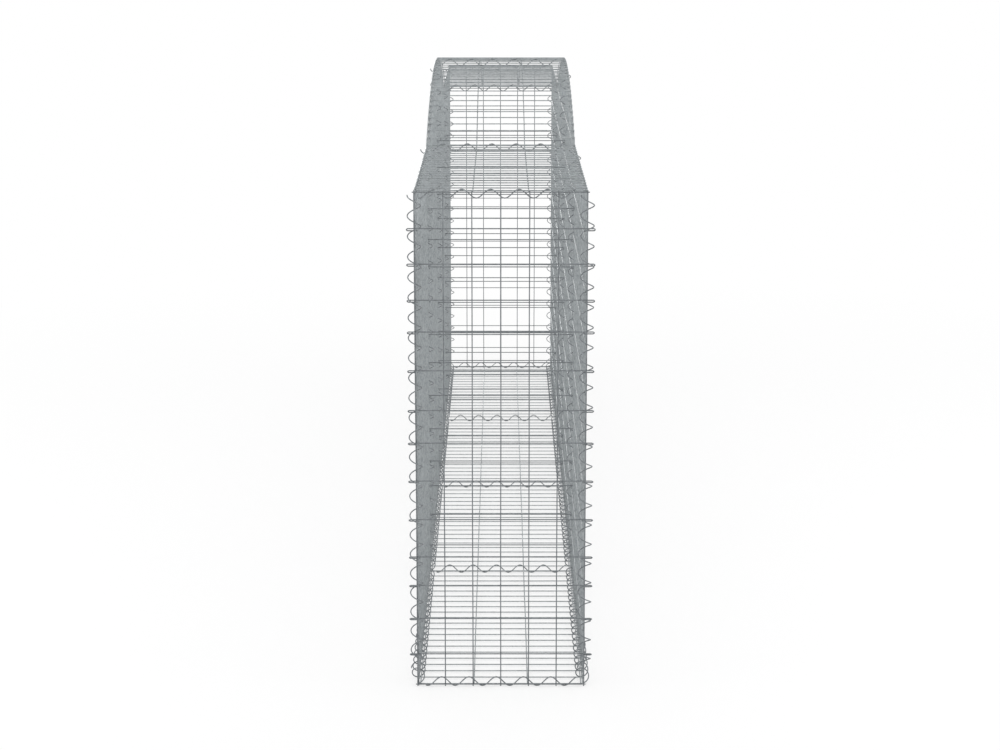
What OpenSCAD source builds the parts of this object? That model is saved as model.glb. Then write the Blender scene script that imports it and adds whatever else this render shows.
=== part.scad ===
// Gabion wall basket: an empty cage of welded wire panels with an arched middle, laced with wire coils.
// X runs along the wall, Y across it, Z up. The floor is Z = 0 and the middle of the wall is X = Y = 0.

/* [Basket] */
// Length of one bay, seam to seam
bay_length = 1000; // [600:1:1500]
// Width between the upright wires of the two long sides
basket_width = 500; // [300:1:1000]
// Height between the lowest and the highest long wire at the ends
basket_height = 1500; // [900:1:2000]
// Rise of the arched top over the two middle bays
arch_rise = 200; // [100:1:350]

/* [Mesh] */
// Thickness of the mesh wire
wire = 3.5; // [2.5:0.1:5]
// Gaps between the upright wires in one bay
bay_gaps = 20; // [8:1:24]
// Gaps between the long wires up one side
side_gaps = 10; // [5:1:12]
// Gaps between the long wires of the floor and the lid
deck_gaps = 3; // [2:1:6]
// Gaps between the upright wires of an end
end_gaps = 6; // [3:1:10]
// Length that the upright wires stand past the outermost long wires
stub = 5.55; // [5.55:0.05:12]
// Depth that crossing wires are welded into each other
weld = 0.5; // [0.3:0.05:1]
// Clearance between pieces that only lean on each other
clearance = 0.3; // [0.2:0.05:0.6]

/* [Ties] */
// Heights of the cross ties, as shares of the basket height
tie_shares = [0.0653, 0.139, 0.2093, 0.2687, 0.346, 0.4253, 0.504,
  0.5687, 0.6487, 0.726, 0.7893, 0.86, 0.9293];
// Distance that a tie reaches past the upright wires
tie_reach = 22; // [12:0.5:40]
// Length of the returned end of a tie hook
tie_return = 26; // [15:0.5:40]

/* [Coils] */
// Thickness of the coil wire
coil_wire = 3.5; // [2.5:0.1:5]
// Bend radius of the upright coils
upright_bend = 25; // [20:0.25:35]
// Height of the foot of an upright coil over the bottom wires
coil_margin = 50.65; // [40:0.05:120]
// Least height left between the end of an upright coil and the top wires
coil_top = 8; // [5:0.5:60]

/* [Hidden] */
bays = 4;
$fn = 48;
// Slope of the upright and edge coils, and of the steeper cross coils, as sine and cosine shares
slope_sin_share = 0.6;
slope_cos_share = 0.8;
steep_sin_share = 0.8432;
steep_cos_share = 0.5376;
// Steps that the coil bends are rounded to
bend_step = 0.25;
steep_step = 1.25;
arc_facets = 720;

layer = wire - weld;
seam = (wire + clearance) / 2;
half_length = bays * bay_length / 2;
half_width = basket_width / 2;
low_z = stub;
high_z = low_z + basket_height;

side_rail = half_width - layer;
deck_end = side_rail - wire / 2 - clearance;
deck_rail = deck_end - wire;
lid_end = half_width - wire / 2 - clearance;
lid_lift = wire + clearance;

arch_half = bay_length;
arch_r = (arch_half * arch_half + arch_rise * arch_rise) / (2 * arch_rise);
arch_base = high_z + arch_rise - arch_r;
arch_inset = wire * arch_half / arch_r;

tie_bend = seam + wire + clearance;
end_bend = (seam + layer + tie_bend) / 2;
end_shift = (seam + layer - tie_bend) / 2;

edge_bend = round(bay_length / bay_gaps / (4 * slope_sin_share) / bend_step) * bend_step;
edge_pitch = 4 * edge_bend * slope_sin_share;
edge_r = edge_bend * slope_cos_share;
cross_bend = round(basket_width / end_gaps / (4 * steep_sin_share) / steep_step) * steep_step;
cross_pitch = 4 * cross_bend * steep_sin_share;
cross_r = cross_bend * steep_cos_share;
upright_pitch = 4 * upright_bend * slope_sin_share;
upright_lean = layer * slope_sin_share / slope_cos_share;
floor_coil_z = cross_r + coil_wire / 2;
lid_coil_drop = cross_r - lid_lift - wire / 2 - clearance - coil_wire / 2;
edge_coil_z = edge_r + coil_wire / 2;

zinc = [0.62, 0.64, 0.65];
dull_zinc = [0.53, 0.55, 0.56];
bright_zinc = [0.70, 0.72, 0.73];

function bay_from(bay) = (bay - 1) * bay_length - half_length + seam;
function bay_to(bay) = bay * bay_length - half_length - seam;
function bay_x(bay, i) = bay_from(bay) + i * (bay_to(bay) - bay_from(bay)) / bay_gaps;
function seam_x(i) = (i - 1) * bay_length - half_length;
function arched(bay) = abs(bay - (bays + 1) / 2) < 1;
function rise_at(x) = abs(x) < arch_half ? sqrt(arch_r * arch_r - x * x) + arch_base - high_z : 0;
function rail_y(side) = side < 0 ? -half_width : side_rail;
function lean_sign(i, side) = side < 0 ? 0 : i == 1 ? -1 : 1;
function deck_y(i) = -deck_rail + i * 2 * deck_rail / deck_gaps;
function end_y(i) = -half_width + i * basket_width / end_gaps;

// Straight wires along X, Y and Z, given by their middle line
module wire_x(from, to, y, z) {
  translate([from, y - wire / 2, z - wire / 2]) cube([to - from, wire, wire]);
}

module wire_y(x, from, to, z) {
  translate([x - wire / 2, from, z - wire / 2]) cube([wire, to - from, wire]);
}

module wire_z(x, y, from, to) {
  translate([x - wire / 2, y - wire / 2, from]) cube([wire, wire, to - from]);
}

// Wire bent along the arch of one bay, at a radius and a place across the wall
module wire_arch(bay, radius, y) {
  start = acos((bay_to(bay) + wire / 2 - arch_inset) / arch_r);
  stop = acos((bay_from(bay) - wire / 2 + arch_inset) / arch_r);
  translate([0, y, arch_base]) rotate([90, 0, 0]) rotate([0, 0, start])
    rotate_extrude(angle = stop - start, $fn = arc_facets)
      translate([radius - wire / 2, -wire / 2]) square([wire, wire]);
}

// One bay of a long side; both sides have their long wires towards the front
module side_panel(bay) {
  for (i = [0 : bay_gaps])
    wire_z(bay_x(bay, i), half_width, 0, high_z + rise_at(bay_x(bay, i)) + stub);
  for (j = [0 : side_gaps])
    wire_x(bay_from(bay) - wire / 2, bay_to(bay) + wire / 2, side_rail, low_z + j * basket_height / side_gaps);
  if (arched(bay)) wire_arch(bay, arch_r, side_rail);
}

module front_panel(bay) {
  color(zinc) translate([0, -half_width - side_rail, 0]) side_panel(bay);
}

module back_panel(bay) {
  color(zinc) side_panel(bay);
}

// One bay of the floor, with its cross wires under its long wires
module floor_panel(bay) {
  color(zinc) {
    for (i = [0 : bay_gaps]) wire_y(bay_x(bay, i), -deck_end, deck_end, low_z);
    for (j = [0 : deck_gaps])
      wire_x(bay_from(bay) - wire / 2, bay_to(bay) + wire / 2, deck_y(j), low_z + layer);
  }
}

// One bay of the lid, with its cross wires over its long wires
module lid_panel(bay) {
  color(zinc) {
    if (arched(bay)) lid_arch(bay);
    if (!arched(bay)) lid_flat(bay);
  }
}

module lid_flat(bay) {
  for (i = [0 : bay_gaps]) wire_y(bay_x(bay, i), -deck_end, lid_end, high_z + lid_lift);
  for (j = [0 : deck_gaps])
    wire_x(bay_from(bay) - wire / 2, bay_to(bay) + wire / 2, deck_y(j), high_z + lid_lift - layer);
}

module lid_arch(bay) {
  start = asin((bay_from(bay) + arch_inset) / (arch_r + lid_lift));
  stop = asin((bay_to(bay) - arch_inset) / (arch_r + lid_lift));
  for (i = [0 : bay_gaps])
    translate([0, 0, arch_base]) rotate([0, start + i * (stop - start) / bay_gaps, 0])
      wire_y(0, -deck_end, lid_end, arch_r + lid_lift);
  for (j = [0 : deck_gaps]) wire_arch(bay, arch_r + lid_lift - layer, deck_y(j));
}

// Half of a tie, from the middle of the wall round its hook, with the bend in the XY plane
module half_tie(bend) {
  reach = half_width + tie_reach - bend;
  translate([0, reach, 0]) {
    rotate_extrude(angle = 180) translate([bend - wire / 2, -wire / 2]) square([wire, wire]);
    translate([bend - wire / 2, -reach, -wire / 2]) cube([wire, reach, wire]);
    translate([-bend - wire / 2, -tie_return, -wire / 2]) cube([wire, tie_return, wire]);
  }
}

module tie(bend) {
  half_tie(bend);
  mirror([0, 1, 0]) half_tie(bend);
}

// End panel for the right end; its cross wires are hooked round the corner wires
module end_panel() {
  for (i = [0 : end_gaps]) wire_z(seam, end_y(i), 0, high_z + stub);
  wire_y(seam + layer, -half_width - stub, half_width + stub, low_z);
  wire_y(seam + layer, -half_width - stub, half_width + stub, high_z);
  for (share = tie_shares) translate([end_shift, 0, low_z + share * basket_height]) tie(end_bend);
}

module end_panel_left() {
  color(zinc) translate([-half_length, 0, 0]) mirror([1, 0, 0]) end_panel();
}

module end_panel_right() {
  color(zinc) translate([half_length, 0, 0]) end_panel();
}

// Loose ties over one seam, hooked round the upright wires of both sides
module cross_ties(i) {
  color(dull_zinc) for (share = tie_shares)
    translate([seam_x(i), 0, low_z + share * basket_height]) tie(tie_bend);
}

// Coil along Z, starting at its first turning point on the X axis, as half rings tilted in turn
module coil(halves, bend, sin_share) {
  rise = bend * sin_share;
  for (i = [0 : halves - 1])
    translate([0, 0, (2 * i + 1) * rise])
      rotate([0, (i % 2 == 0 ? -1 : 1) * asin(sin_share), 0])
        rotate([0, 0, (i % 2) * 180])
          rotate_extrude(angle = 180) translate([bend, 0]) circle(d = coil_wire, $fn = 16);
}

// Coil up one seam of a side, threaded round the two upright wires that meet there and resting on the long wires
module upright_coil(i, side) {
  tall = basket_height + rise_at(seam_x(i)) - coil_margin - coil_top;
  color(bright_zinc)
    translate([seam_x(i), side * half_width, low_z + coil_margin + lean_sign(i, side) * upright_lean])
      rotate([0, 0, 90]) coil(floor(2 * tall / upright_pitch), upright_bend, slope_sin_share);
}

// Coils along the foot of one side, one to a bay, round the long wires of the side and the floor
module edge_coils(side) {
  color(bright_zinc) for (bay = [1 : bays])
    translate([bay_from(bay) + edge_pitch * 5 / 4, rail_y(side), edge_coil_z]) rotate([0, 90, 0])
      coil(2 * (bay_gaps - 2), edge_bend, slope_sin_share);
}

// Coil across the wall along Y, round the cross wires that meet at a seam
module cross_coil(i, z) {
  halves = 2 * end_gaps - 1;
  color(bright_zinc) translate([seam_x(i), halves * cross_pitch / 4, z]) rotate([90, 0, 0])
    rotate([0, 0, 90]) coil(halves, cross_bend, steep_sin_share);
}

module floor_coil(i) {
  cross_coil(i, floor_coil_z);
}

module lid_coil(i) {
  cross_coil(i, high_z + rise_at(seam_x(i)) - lid_coil_drop);
}

front_panel(1);  // front_panel_bay_1
front_panel(2);  // front_panel_bay_2
front_panel(3);  // front_panel_bay_3
front_panel(4);  // front_panel_bay_4
back_panel(1);  // back_panel_bay_1
back_panel(2);  // back_panel_bay_2
back_panel(3);  // back_panel_bay_3
back_panel(4);  // back_panel_bay_4
floor_panel(1);  // floor_panel_bay_1
floor_panel(2);  // floor_panel_bay_2
floor_panel(3);  // floor_panel_bay_3
floor_panel(4);  // floor_panel_bay_4
lid_panel(1);  // lid_panel_bay_1
lid_panel(2);  // lid_panel_bay_2
lid_panel(3);  // lid_panel_bay_3
lid_panel(4);  // lid_panel_bay_4
end_panel_left();
end_panel_right();
cross_ties(2);  // cross_ties_left
cross_ties(3);  // cross_ties_middle
cross_ties(4);  // cross_ties_right
upright_coil(1, -1);  // corner_coil_front_left
upright_coil(5, -1);  // corner_coil_front_right
upright_coil(1, 1);  // corner_coil_back_left
upright_coil(5, 1);  // corner_coil_back_right
upright_coil(2, -1);  // seam_coil_front_left
upright_coil(3, -1);  // seam_coil_front_middle
upright_coil(4, -1);  // seam_coil_front_right
upright_coil(2, 1);  // seam_coil_back_left
upright_coil(3, 1);  // seam_coil_back_middle
upright_coil(4, 1);  // seam_coil_back_right
edge_coils(-1);  // edge_coils_front
edge_coils(1);  // edge_coils_back
floor_coil(1);  // floor_coil_1
floor_coil(2);  // floor_coil_2
floor_coil(3);  // floor_coil_3
floor_coil(4);  // floor_coil_4
floor_coil(5);  // floor_coil_5
lid_coil(1);  // lid_coil_1
lid_coil(2);  // lid_coil_2
lid_coil(3);  // lid_coil_3
lid_coil(4);  // lid_coil_4
lid_coil(5);  // lid_coil_5
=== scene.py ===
"""An empty gabion wall basket of galvanised wire: welded mesh panels in four bays, an arched
middle, hooked cross ties and helical lacing coils, on a pale floor in soft studio light."""

import math
import random

import bpy
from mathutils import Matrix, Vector


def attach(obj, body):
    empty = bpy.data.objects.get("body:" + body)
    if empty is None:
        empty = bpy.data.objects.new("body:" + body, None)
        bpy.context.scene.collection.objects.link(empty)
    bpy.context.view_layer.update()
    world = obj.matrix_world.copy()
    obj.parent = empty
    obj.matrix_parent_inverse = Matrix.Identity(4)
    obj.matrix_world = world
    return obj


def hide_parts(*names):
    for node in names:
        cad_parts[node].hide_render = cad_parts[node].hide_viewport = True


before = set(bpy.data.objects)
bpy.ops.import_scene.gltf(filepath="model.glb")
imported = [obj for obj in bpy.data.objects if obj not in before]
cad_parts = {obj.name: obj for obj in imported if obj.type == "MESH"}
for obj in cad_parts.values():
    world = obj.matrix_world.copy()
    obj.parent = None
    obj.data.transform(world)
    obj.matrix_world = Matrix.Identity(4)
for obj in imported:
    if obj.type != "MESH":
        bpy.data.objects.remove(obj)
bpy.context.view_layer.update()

# Metres in a millimetre. The basket's own sizes are in millimetres.
MM = 0.001

# The bays, the wire, and how many gaps the wires of each panel leave.
BAYS = 4
BAY = 1000.0
WIDTH = 500.0
HEIGHT = 1500.0
RISE = 200.0
WIRE = 3.5
STUB = 5.55
WELD = 0.5
CLEAR = 0.3
BAY_GAPS, SIDE_GAPS, DECK_GAPS, END_GAPS = 20, 10, 3, 6

# The ties: their heights as shares of the basket's, and the size of their hooks.
TIE_SHARES = (0.0653, 0.14, 0.2093, 0.2687, 0.346, 0.4253, 0.5027,
              0.5687, 0.6487, 0.726, 0.789, 0.86, 0.9293)
TIE_REACH, TIE_RETURN, TIE_TWIST = 22.0, 26.0, 8.0

# The lacing coils, upright, along the foot and across.
COIL_WIRE = 3.5
UPRIGHT_PITCH, UPRIGHT_R, COIL_MARGIN, COIL_TOP = 60.0, 19.3, 50.65, 8.0
EDGE_PITCH, EDGE_R, EDGE_TURNS = 49.8, 19.0, 19
CROSS_PITCH, CROSS_R, CROSS_TURNS = 82.2, 12.6, 5.5

# Small moves that keep coils clear of the hooks, the long wires, the arched lids and the ends.
FAR_CORNER_DROP = 27.5
FLOOR_COIL_SHIFT, LID_COIL_SHIFT = 1.6, -11.0
LID_COIL_LIFTS = (0.0, 2.2, 0.5, 2.2, 0.0)
END_FOOT_LIFT = 1.3

# The bow of a drawn wire: long, short, and at a panel's edge, where it lies against another panel.
LONG_BOW, SHORT_BOW, OUTER_BOW = 0.45, 0.3, 0.06
# The two waves of a bow: their number along the wire, the second's share, and a turn in radians.
SLOW_WAVES, FAST_WAVES, FAST_SHARE, TURN = 0.7, 1.9, 0.5, 6.283

# Steps along a wire, an arch, a hook and a turn of a coil, and the sides of a wire and of a bead.
LONG_STEPS, SHORT_STEPS, ARCH_STEPS, HOOK_STEPS, COIL_STEPS = 8, 4, 24, 10, 28
WIRE_SIDES, BEAD_SIDES = 10, 8
# A cut end narrows to the first share of the radius over a length of the second.
END_SHARE, END_ROUND = 0.72, 0.3
# Weld beads: their width over the wire's, smaller at a panel's edge, and their rings as shares.
BEAD_LEAST, BEAD_MOST, OUTER_BEAD = 1.12, 1.3, 0.8
BEAD_RINGS = ((-0.85, 0.62), (0.0, 1.0), (0.85, 0.62))
# A direction counts as upright when its rise is over this share of its length.
UPRIGHT_SHARE = 0.9

LAYER = WIRE - WELD
SEAM = (WIRE + CLEAR) / 2
HALF_LENGTH = BAYS * BAY / 2
HALF_WIDTH = WIDTH / 2
LOW = STUB
HIGH = LOW + HEIGHT
SIDE_RAIL = HALF_WIDTH - LAYER
DECK_END = SIDE_RAIL - WIRE / 2 - CLEAR
DECK_RAIL = DECK_END - WIRE
LID_END = HALF_WIDTH - WIRE / 2 - CLEAR
LID_LIFT = WIRE + CLEAR
ARCH_R = (BAY * BAY + RISE * RISE) / (2 * RISE)
ARCH_BASE = HIGH + RISE - ARCH_R
ARCH_INSET = WIRE * BAY / ARCH_R
TIE_BEND = SEAM + WIRE + CLEAR
END_BEND = (SEAM + LAYER + TIE_BEND) / 2
END_SHIFT = (SEAM + LAYER - TIE_BEND) / 2
BEAD_HALF = WIRE / 4

# The hand that bows the wires and sizes the beads, the same on each run.
hand = random.Random(11)


def bay_from(bay):
    return (bay - 1) * BAY - HALF_LENGTH + SEAM


def bay_to(bay):
    return bay * BAY - HALF_LENGTH - SEAM


def bay_x(bay, i):
    return bay_from(bay) + i * (bay_to(bay) - bay_from(bay)) / BAY_GAPS


def seam_x(i):
    return (i - 1) * BAY - HALF_LENGTH


def arched(bay):
    return bay in (2, 3)


def rise_at(x):
    return math.sqrt(ARCH_R * ARCH_R - x * x) + ARCH_BASE - HIGH if abs(x) < BAY else 0.0


def upright_y(side):
    return -SIDE_RAIL if side < 0 else HALF_WIDTH


def rail_y(side):
    return upright_y(side) - LAYER


def deck_y(i):
    return -DECK_RAIL + i * 2 * DECK_RAIL / DECK_GAPS


def end_y(i):
    return -HALF_WIDTH + i * WIDTH / END_GAPS


# Wire work: every piece is a set of round wires swept along lines in millimetres.

def square_to(way):
    """A unit vector square to a direction."""
    pick = Vector((0, 0, 1)) if abs(way.z) < UPRIGHT_SHARE else Vector((1, 0, 0))
    return way.cross(pick).normalized()


class Wirework:
    """Collects swept wires and weld beads, and turns them into one mesh."""

    def __init__(self):
        self.verts, self.faces = [], []

    def ring(self, centre, across, up, radius, sides):
        first = len(self.verts)
        for k in range(sides):
            a = 2 * math.pi * (k + 0.5) / sides
            self.verts.append(centre + radius * (math.cos(a) * across + math.sin(a) * up))
        return first

    def skin(self, rings, sides):
        """Joins rings of points into a closed skin with flat ends."""
        for a, b in zip(rings, rings[1:]):
            for k in range(sides):
                n = (k + 1) % sides
                self.faces.append((a + k, a + n, b + n, b + k))
        self.faces.append(tuple(rings[0] + k for k in reversed(range(sides))))
        self.faces.append(tuple(rings[-1] + k for k in range(sides)))

    def wire(self, path, radius=WIRE / 2):
        """Sweeps a round wire along a path; both cut ends are a little rounded over."""
        path = [Vector(p) for p in path]
        last = len(path) - 1
        ahead = [(path[min(i + 1, last)] - path[max(i - 1, 0)]).normalized()
                 for i in range(len(path))]
        across = square_to(ahead[0])
        rings = []
        for i, (point, way) in enumerate(zip(path, ahead)):
            across = (across - way * across.dot(way)).normalized()
            up = way.cross(across)
            inward = way * radius * END_ROUND
            if i == 0:
                rings.append(self.ring(point, across, up, radius * END_SHARE, WIRE_SIDES))
                point = point + inward
            if i == last:
                rings.append(self.ring(point - inward, across, up, radius, WIRE_SIDES))
                rings.append(self.ring(point, across, up, radius * END_SHARE, WIRE_SIDES))
            else:
                rings.append(self.ring(point, across, up, radius, WIRE_SIDES))
        self.skin(rings, WIRE_SIDES)

    def bead(self, centre, thin, share=1.0):
        """A weld: a squeezed bead where two wires were fused, flattest along thin."""
        centre, thin = Vector(centre), Vector(thin).normalized()
        across = square_to(thin)
        up = thin.cross(across)
        size = WIRE / 2 * hand.uniform(BEAD_LEAST, BEAD_MOST) * share
        rings = []
        for lift, width in BEAD_RINGS:
            spot = centre + thin * lift * BEAD_HALF
            rings.append(self.ring(spot, across, up, size * width, BEAD_SIDES))
        self.skin(rings, BEAD_SIDES)

    def piece(self, node, zinc_and_painted_shade):
        """Makes the mesh, in metres, and puts it in place of its solid."""
        mesh = bpy.data.meshes.new(node + "_wires")
        mesh.from_pydata([v * MM for v in self.verts], [], self.faces)
        mesh.polygons.foreach_set("use_smooth", [True] * len(mesh.polygons))
        mesh.update()
        obj = bpy.data.objects.new(node + "_wires", mesh)
        bpy.context.scene.collection.objects.link(obj)
        mesh.materials.append(zinc_and_painted_shade)
        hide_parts(node)
        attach(obj, "root")


def bow_of(place, row, usual):
    """How far one wire of a row bows: the first and the last are straighter."""
    return OUTER_BOW if place in (row[0], row[-1]) else usual


def bead_of(place, row):
    """The share of the usual size that the beads on one wire of a row have."""
    return OUTER_BEAD if place in (row[0], row[-1]) else 1.0


def drawn(a, b, sway, steps=LONG_STEPS, bow=LONG_BOW):
    """A straightened wire from a to b that still bows a little along sway, as drawn wire does."""
    a, b, sway = Vector(a), Vector(b), Vector(sway)
    p, q = hand.uniform(0, TURN), hand.uniform(0, TURN)
    out = []
    for i in range(steps + 1):
        t = i / steps
        slow = math.sin(TURN * SLOW_WAVES * t + p)
        fast = FAST_SHARE * math.sin(TURN * FAST_WAVES * t + q)
        out.append(a + (b - a) * t + sway * (bow * (slow + fast) * math.sin(math.pi * t)))
    return out


def arch_line(bay, radius, y):
    """Points along the arch of one bay."""
    first = math.asin((bay_from(bay) - WIRE / 2 + ARCH_INSET) / ARCH_R)
    last = math.asin((bay_to(bay) + WIRE / 2 - ARCH_INSET) / ARCH_R)
    angles = [first + (last - first) * i / ARCH_STEPS for i in range(ARCH_STEPS + 1)]
    return [(radius * math.sin(a), y, ARCH_BASE + radius * math.cos(a)) for a in angles]


def side_panel(node, bay, side, zinc_and_painted_shade):
    """One bay of a long side, with an arched wire along its top in the middle bays."""
    work = Wirework()
    uprights = [bay_x(bay, i) for i in range(BAY_GAPS + 1)]
    rails = [LOW + j * HEIGHT / SIDE_GAPS for j in range(SIDE_GAPS + 1)]
    for x in uprights:
        foot = (x, upright_y(side), 0)
        top = (x, upright_y(side), HIGH + rise_at(x) + STUB)
        work.wire(drawn(foot, top, (1, 0, 0), bow=bow_of(x, uprights, LONG_BOW)))
    for z in rails:
        start = (uprights[0] - WIRE / 2, rail_y(side), z)
        end = (uprights[-1] + WIRE / 2, rail_y(side), z)
        work.wire(drawn(start, end, (0, 0, 1), bow=bow_of(z, rails, LONG_BOW)))
    if arched(bay):
        work.wire(arch_line(bay, ARCH_R, rail_y(side)))
    middle = (upright_y(side) + rail_y(side)) / 2
    for x in uprights:
        for z in rails + ([HIGH + rise_at(x)] if arched(bay) else []):
            work.bead((x, middle, z), (0, 1, 0), bead_of(x, uprights))
    work.piece(node, zinc_and_painted_shade)


def floor_panel(node, bay, zinc_and_painted_shade):
    """One bay of the floor: cross wires with four long wires on top of them."""
    work = Wirework()
    crosses = [bay_x(bay, i) for i in range(BAY_GAPS + 1)]
    for x in crosses:
        bow = bow_of(x, crosses, SHORT_BOW)
        work.wire(drawn((x, -DECK_END, LOW), (x, DECK_END, LOW), (1, 0, 0), SHORT_STEPS, bow))
    for j in range(DECK_GAPS + 1):
        work.wire(drawn((crosses[0] - WIRE / 2, deck_y(j), LOW + LAYER),
                        (crosses[-1] + WIRE / 2, deck_y(j), LOW + LAYER), (0, 1, 0)))
        for x in crosses:
            work.bead((x, deck_y(j), LOW + LAYER / 2), (0, 0, 1), bead_of(x, crosses))
    work.piece(node, zinc_and_painted_shade)


def flat_lid(node, bay, zinc_and_painted_shade):
    """One flat bay of the lid: cross wires with four long wires under them."""
    work = Wirework()
    z = HIGH + LID_LIFT
    crosses = [bay_x(bay, i) for i in range(BAY_GAPS + 1)]
    for x in crosses:
        bow = bow_of(x, crosses, SHORT_BOW)
        work.wire(drawn((x, -DECK_END, z), (x, LID_END, z), (1, 0, 0), SHORT_STEPS, bow))
    for j in range(DECK_GAPS + 1):
        work.wire(drawn((crosses[0] - WIRE / 2, deck_y(j), z - LAYER),
                        (crosses[-1] + WIRE / 2, deck_y(j), z - LAYER), (0, 1, 0)))
        for x in crosses:
            work.bead((x, deck_y(j), z - LAYER / 2), (0, 0, 1), bead_of(x, crosses))
    work.piece(node, zinc_and_painted_shade)


def arched_lid(node, bay, zinc_and_painted_shade):
    """One arched bay of the lid: the same wires, bent to the arch."""
    work = Wirework()
    base = Vector((0, 0, ARCH_BASE))
    top_r = ARCH_R + LID_LIFT
    first = math.asin((bay_from(bay) + ARCH_INSET) / top_r)
    last = math.asin((bay_to(bay) - ARCH_INSET) / top_r)
    row = range(BAY_GAPS + 1)
    for i in row:
        a = first + (last - first) * i / BAY_GAPS
        out = Vector((math.sin(a), 0, math.cos(a)))
        along = Vector((math.cos(a), 0, -math.sin(a)))
        spot = base + out * top_r
        front, back = spot - Vector((0, DECK_END, 0)), spot + Vector((0, LID_END, 0))
        work.wire(drawn(front, back, along, SHORT_STEPS, bow_of(i, row, SHORT_BOW)))
        for j in range(DECK_GAPS + 1):
            work.bead(base + out * (top_r - LAYER / 2) + Vector((0, deck_y(j), 0)), out)
    for j in range(DECK_GAPS + 1):
        work.wire(arch_line(bay, top_r - LAYER, deck_y(j)))
    work.piece(node, zinc_and_painted_shade)


def tie_line(x, z, bend, facing):
    """A tie across the wall with a hook turned back round the upright wires at each end;
    the hooks are twisted a little, so that their tips lie lower than the tie."""
    reach = HALF_WIDTH + TIE_REACH - bend
    half_turn = [math.pi * i / HOOK_STEPS for i in range(HOOK_STEPS + 1)]
    points = [(-bend, reach - TIE_RETURN)]
    points += [(bend * math.cos(a), reach + bend * math.sin(a)) for a in reversed(half_turn)]
    points += [(bend, reach / 2), (bend, 0.0), (bend, -reach / 2)]
    points += [(bend * math.cos(a), -reach - bend * math.sin(a)) for a in half_turn]
    points += [(-bend, -reach + TIE_RETURN)]
    return [(x + facing * px, py, z - TIE_TWIST * (bend - px) / (2 * bend)) for px, py in points]


def end_panel(node, facing, zinc_and_painted_shade):
    """An end of the basket: uprights, a wire at the foot and at the top, and hooked ties."""
    work = Wirework()
    at = facing * HALF_LENGTH
    upright = at + facing * SEAM
    cross = at + facing * (SEAM + LAYER)
    rims = [LOW + END_FOOT_LIFT, HIGH]
    heights = [LOW + share * HEIGHT for share in TIE_SHARES]
    for i in range(END_GAPS + 1):
        work.wire(drawn((upright, end_y(i), 0), (upright, end_y(i), HIGH + STUB), (0, 1, 0)))
    for z in rims:
        start, end = (cross, -HALF_WIDTH - STUB, z), (cross, HALF_WIDTH + STUB, z)
        work.wire(drawn(start, end, (0, 0, 1), SHORT_STEPS, OUTER_BOW))
    for z in heights:
        work.wire(tie_line(at + facing * END_SHIFT, z, END_BEND, facing))
    for z in rims + heights:
        for i in range(END_GAPS + 1):
            work.bead((at + facing * (SEAM + LAYER / 2), end_y(i), z), (1, 0, 0))
    work.piece(node, zinc_and_painted_shade)


def cross_ties(node, seam, zinc_and_painted_shade):
    """The hooked ties over one inner seam."""
    work = Wirework()
    for share in TIE_SHARES:
        work.wire(tie_line(seam_x(seam), LOW + share * HEIGHT, TIE_BEND, 1))
    work.piece(node, zinc_and_painted_shade)


def coil_line(origin, axis, first, second, radius, pitch, turns):
    """A helix from origin along axis that starts towards first and turns towards second."""
    origin, axis, first, second = Vector(origin), Vector(axis), Vector(first), Vector(second)
    out = []
    for i in range(int(turns * COIL_STEPS) + 1):
        a = 2 * math.pi * i / COIL_STEPS
        centre = origin + axis * pitch * i / COIL_STEPS
        out.append(centre + radius * (math.cos(a) * first + math.sin(a) * second))
    return out


def upright_coil(node, seam, side, zinc_and_painted_shade):
    """A lacing coil up one seam or corner, in whole half turns."""
    # At the far back corner the hooks face the other way, so the coil starts lower to clear them.
    foot = LOW + COIL_MARGIN - (FAR_CORNER_DROP if (seam, side) == (1, 1) else 0)
    tall = HIGH + rise_at(seam_x(seam)) - COIL_TOP - foot
    turns = math.floor(2 * tall / UPRIGHT_PITCH) / 2
    start = (seam_x(seam), side * HALF_WIDTH, foot)
    line = coil_line(start, (0, 0, 1), (0, -1, 0), (-1, 0, 0), UPRIGHT_R, UPRIGHT_PITCH, turns)
    work = Wirework()
    work.wire(line, COIL_WIRE / 2)
    work.piece(node, zinc_and_painted_shade)


def edge_coils(node, side, zinc_and_painted_shade):
    """The lacing coils along the foot of one long side, one to a bay."""
    work = Wirework()
    for bay in range(1, BAYS + 1):
        start = (bay_from(bay) + EDGE_PITCH * 3 / 4, rail_y(side), EDGE_R + COIL_WIRE / 2)
        line = coil_line(start, (1, 0, 0), (0, 0, -1), (0, -1, 0), EDGE_R, EDGE_PITCH, EDGE_TURNS)
        work.wire(line, COIL_WIRE / 2)
    work.piece(node, zinc_and_painted_shade)


def cross_coil(node, seam, shift, z, zinc_and_painted_shade):
    """A lacing coil across the floor or the lid at one seam."""
    start = (seam_x(seam), shift - CROSS_TURNS * CROSS_PITCH / 2, z)
    line = coil_line(start, (0, 1, 0), (0, 0, -1), (1, 0, 0), CROSS_R, CROSS_PITCH, CROSS_TURNS)
    work = Wirework()
    work.wire(line, COIL_WIRE / 2)
    work.piece(node, zinc_and_painted_shade)


# Materials.

# The size of the zinc's crystals, oxide clouds and lumps, and the lumps' depth, in millimetres.
CRYSTAL, CLOUD, LUMP, LUMP_DEPTH = 7.0, 60.0, 4.0, 0.4
# The cloud pattern's values between which the oxide comes in, and the most that it covers.
HAZE_FROM, HAZE_TO, HAZE_MOST = 0.52, 0.72, 0.55
# How much smoother and rougher single crystals are than the wire.
SMOOTHER, ROUGHER = 0.09, 0.12
# Weathered zinc is a little less metallic than bare metal.
METALLIC = 0.75
# The colour sockets of a Mix node.
MIX_A, MIX_B, MIX_OUT = 6, 7, 2


def linear(code):
    """A hex sRGB colour as linear red, green, blue and alpha."""
    parts = [int(code[i:i + 2], 16) / 255 for i in (1, 3, 5)]
    return [c / 12.92 if c <= 0.04045 else ((c + 0.055) / 1.055) ** 2.4 for c in parts] + [1.0]


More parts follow.
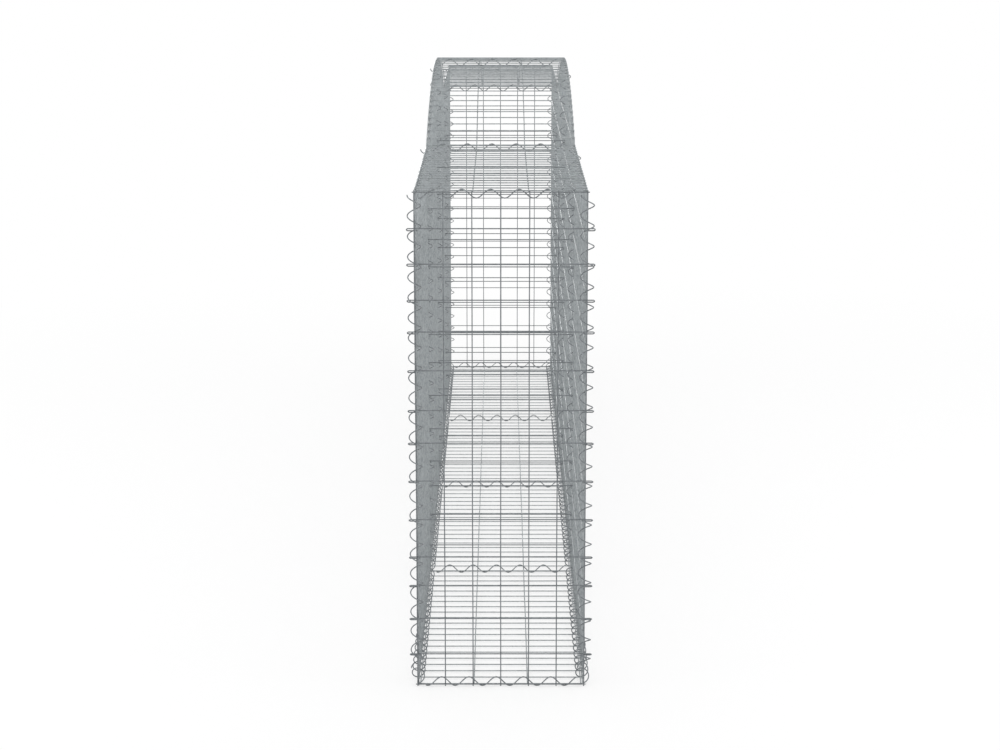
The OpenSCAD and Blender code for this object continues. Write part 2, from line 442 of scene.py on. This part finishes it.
def add(tree, kind, settings=None, inputs=None):
    """Adds one node; an input is a value or another node's output."""
    node = tree.nodes.new(kind)
    for name, value in (settings or {}).items():
        setattr(node, name, value)
    for name, value in (inputs or {}).items():
        if isinstance(value, bpy.types.NodeSocket):
            tree.links.new(value, node.inputs[name])
        else:
            node.inputs[name].default_value = value
    return node


def galvanised(name, dark, light, bloom, rough):
    """Hot-dip galvanised steel wire: a dull grey zinc skin with faint crystal patches a few
    millimetres across, pale oxide clouds every few centimetres, and a slightly lumpy surface."""
    mat = bpy.data.materials.new(name)
    mat.use_nodes = True
    tree = mat.node_tree
    tree.nodes.clear()
    place = add(tree, "ShaderNodeTexCoord").outputs["Object"]
    crystal = add(tree, "ShaderNodeTexVoronoi", {"feature": "F1"},
                  {"Vector": place, "Scale": 1 / (CRYSTAL * MM)})
    cloud = add(tree, "ShaderNodeTexNoise", {},
                {"Vector": place, "Scale": 1 / (CLOUD * MM), "Detail": 4.0, "Roughness": 0.6})
    lump = add(tree, "ShaderNodeTexNoise", {},
               {"Vector": place, "Scale": 1 / (LUMP * MM), "Detail": 2.0})
    patch = add(tree, "ShaderNodeSeparateColor", {}, {"Color": crystal.outputs["Color"]})
    zinc = add(tree, "ShaderNodeMix", {"data_type": "RGBA"},
               {"Factor": patch.outputs["Red"], MIX_A: linear(dark), MIX_B: linear(light)})
    haze = add(tree, "ShaderNodeMapRange", {},
               {"Value": cloud.outputs["Fac"], "From Min": HAZE_FROM, "From Max": HAZE_TO,
                "To Min": 0.0, "To Max": HAZE_MOST})
    skin = add(tree, "ShaderNodeMix", {"data_type": "RGBA"},
               {"Factor": haze.outputs["Result"], MIX_A: zinc.outputs[MIX_OUT],
                MIX_B: linear(bloom)})
    dull = add(tree, "ShaderNodeMapRange", {},
               {"Value": patch.outputs["Green"], "To Min": rough - SMOOTHER,
                "To Max": rough + ROUGHER})
    bump = add(tree, "ShaderNodeBump", {},
               {"Height": lump.outputs["Fac"], "Strength": 0.35, "Distance": LUMP_DEPTH * MM})
    shader = add(tree, "ShaderNodeBsdfPrincipled", {},
                 {"Base Color": skin.outputs[MIX_OUT], "Metallic": METALLIC,
                  "Roughness": dull.outputs["Result"], "Normal": bump.outputs["Normal"]})
    add(tree, "ShaderNodeOutputMaterial", {}, {"Surface": shader.outputs["BSDF"]})
    return mat


# The mesh is the palest wire; the tie and coil colours below are darker copies of it, painted
# shade.
mesh_zinc = galvanised("hot_dip_galvanised_mesh_wire", "#898e90", "#a4a9ab", "#b3b7b8", 0.38)
# Ties and ends: darker colours, painted shade for the shade they lie in, and a little rougher.
tie_zinc_painted_shade = galvanised("hot_dip_galvanised_tie_wire_painted_shade", "#6d7174", "#828689", "#939799", 0.4)
# Coils: darker colours, painted shade on their loops, and they shine a little more.
coil_zinc_painted_shade = galvanised("hot_dip_galvanised_coil_wire_painted_shade", "#6c7073", "#878b8e", "#9ca0a2", 0.34)


# The basket.

for bay in range(1, BAYS + 1):
    side_panel(f"front_panel_bay_{bay}", bay, -1, mesh_zinc)
    side_panel(f"back_panel_bay_{bay}", bay, 1, mesh_zinc)
    floor_panel(f"floor_panel_bay_{bay}", bay, mesh_zinc)
    lid_panel = arched_lid if arched(bay) else flat_lid
    lid_panel(f"lid_panel_bay_{bay}", bay, mesh_zinc)
end_panel("end_panel_left", -1, tie_zinc_painted_shade)
end_panel("end_panel_right", 1, tie_zinc_painted_shade)
for seam, word in ((2, "left"), (3, "middle"), (4, "right")):
    cross_ties(f"cross_ties_{word}", seam, tie_zinc_painted_shade)
    upright_coil(f"seam_coil_front_{word}", seam, -1, coil_zinc_painted_shade)
    upright_coil(f"seam_coil_back_{word}", seam, 1, coil_zinc_painted_shade)
for seam, word in ((1, "left"), (5, "right")):
    upright_coil(f"corner_coil_front_{word}", seam, -1, coil_zinc_painted_shade)
    upright_coil(f"corner_coil_back_{word}", seam, 1, coil_zinc_painted_shade)
edge_coils("edge_coils_front", -1, coil_zinc_painted_shade)
edge_coils("edge_coils_back", 1, coil_zinc_painted_shade)
for seam in range(1, BAYS + 2):
    floor_z = CROSS_R + COIL_WIRE / 2
    cross_coil(f"floor_coil_{seam}", seam, FLOOR_COIL_SHIFT, floor_z, coil_zinc_painted_shade)
    lid_top = HIGH + rise_at(seam_x(seam)) + LID_LIFT + WIRE / 2
    lid_z = lid_top + CLEAR + COIL_WIRE / 2 - CROSS_R + LID_COIL_LIFTS[seam - 1]
    cross_coil(f"lid_coil_{seam}", seam, LID_COIL_SHIFT, lid_z, coil_zinc_painted_shade)


# Floor, light and camera, in metres.

FLOOR_REACH = 60.0
# The paper keeps shadows up to the first distance from the basket's middle, and is even white
# from the second one on; near the basket this share of it is even white too.
SHADOW_REACH, WHITE_FROM, WHITE_SHARE = 2.2, 4.5, 0.62
SKY_FILL = 0.95
WHITE = (1, 1, 1, 1)
LENS, SENSOR, SHIFT = 71.1, 36.0, -0.1
CAMERA_AWAY, CAMERA_SIDE, CAMERA_HEIGHT, CAMERA_PITCH = 5.607, -0.0023, 2.3626, 11.154


def sees_backdrop(tree):
    """One for rays that should see the white backdrop: from the camera, or off or through
    a surface."""
    rays = add(tree, "ShaderNodeLightPath")
    gloss = add(tree, "ShaderNodeMath", {"operation": "MAXIMUM"},
                {0: rays.outputs["Is Camera Ray"], 1: rays.outputs["Is Glossy Ray"]})
    return add(tree, "ShaderNodeMath", {"operation": "MAXIMUM"},
               {0: gloss.outputs[0], 1: rays.outputs["Is Transmission Ray"]}).outputs[0]


def paper():
    """Matt white studio paper that keeps a soft shadow round the basket and runs out into
    even white."""
    mat = bpy.data.materials.new("matt_white_paper")
    mat.use_nodes = True
    tree = mat.node_tree
    tree.nodes.clear()
    matt = add(tree, "ShaderNodeBsdfDiffuse", {}, {"Color": linear("#f4f4f4")})
    even = add(tree, "ShaderNodeEmission", {}, {"Color": WHITE, "Strength": 1.0})
    place = add(tree, "ShaderNodeTexCoord").outputs["Object"]
    away = add(tree, "ShaderNodeVectorMath", {"operation": "LENGTH"}, {0: place})
    runout = add(tree, "ShaderNodeMapRange", {},
                 {"Value": away.outputs["Value"], "From Min": SHADOW_REACH,
                  "From Max": WHITE_FROM, "To Min": WHITE_SHARE, "To Max": 1.0})
    share = add(tree, "ShaderNodeMath", {"operation": "MULTIPLY"},
                {0: sees_backdrop(tree), 1: runout.outputs["Result"]})
    mixed = add(tree, "ShaderNodeMixShader", {},
                {0: share.outputs[0], 1: matt.outputs[0], 2: even.outputs[0]})
    add(tree, "ShaderNodeOutputMaterial", {}, {"Surface": mixed.outputs[0]})
    return mat


floor_mesh = bpy.data.meshes.new("studio_floor")
floor_corners = [(-FLOOR_REACH, -FLOOR_REACH, 0), (FLOOR_REACH, -FLOOR_REACH, 0),
                 (FLOOR_REACH, FLOOR_REACH, 0), (-FLOOR_REACH, FLOOR_REACH, 0)]
floor_mesh.from_pydata(floor_corners, [], [(0, 1, 2, 3)])
floor = bpy.data.objects.new("studio_floor", floor_mesh)
bpy.context.scene.collection.objects.link(floor)
floor_mesh.materials.append(paper())

world = bpy.data.worlds.new("studio")
bpy.context.scene.world = world
world.use_nodes = True
sky = world.node_tree
sky.nodes.clear()
fill = add(sky, "ShaderNodeBackground", {}, {"Color": WHITE, "Strength": SKY_FILL})
white = add(sky, "ShaderNodeBackground", {}, {"Color": WHITE, "Strength": 1.0})
both = add(sky, "ShaderNodeMixShader", {},
           {0: sees_backdrop(sky), 1: fill.outputs[0], 2: white.outputs[0]})
add(sky, "ShaderNodeOutputWorld", {}, {"Surface": both.outputs[0]})


def softbox(name, place, aim, size, watts):
    data = bpy.data.lights.new(name, "AREA")
    data.shape = "SQUARE"
    data.size = size
    data.energy = watts
    obj = bpy.data.objects.new(name, data)
    obj.location = place
    obj.rotation_mode = "QUATERNION"
    obj.rotation_quaternion = (Vector(aim) - Vector(place)).to_track_quat("-Z", "Y")
    bpy.context.scene.collection.objects.link(obj)


softbox("overhead_softbox", place=(0.5, 0.0, 6.0), aim=(0, 0, 0.8), size=4.0, watts=20)
softbox("left_softbox", place=(2.5, -5.0, 2.6), aim=(0, 0, 0.9), size=3.0, watts=48)
softbox("right_softbox", place=(2.5, 5.0, 2.6), aim=(0, 0, 0.9), size=3.0, watts=60)
softbox("far_left_softbox", place=(-9.0, -1.8, 1.7), aim=(0, 0, 0.9), size=2.0, watts=80)

camera = bpy.data.cameras.new("camera")
camera.sensor_width = SENSOR
camera.lens = LENS
camera.shift_y = SHIFT
camera.dof.use_dof = False
eye = bpy.data.objects.new("camera", camera)
pitch = math.radians(CAMERA_PITCH)
eye.location = (HALF_LENGTH * MM + CAMERA_AWAY, CAMERA_SIDE, CAMERA_HEIGHT + LOW * MM)
eye.rotation_mode = "QUATERNION"
eye.rotation_quaternion = Vector((-math.cos(pitch), 0, -math.sin(pitch))).to_track_quat("-Z", "Y")
bpy.context.scene.collection.objects.link(eye)
bpy.context.scene.camera = eye
bpy.context.scene.view_settings.view_transform = "Standard"
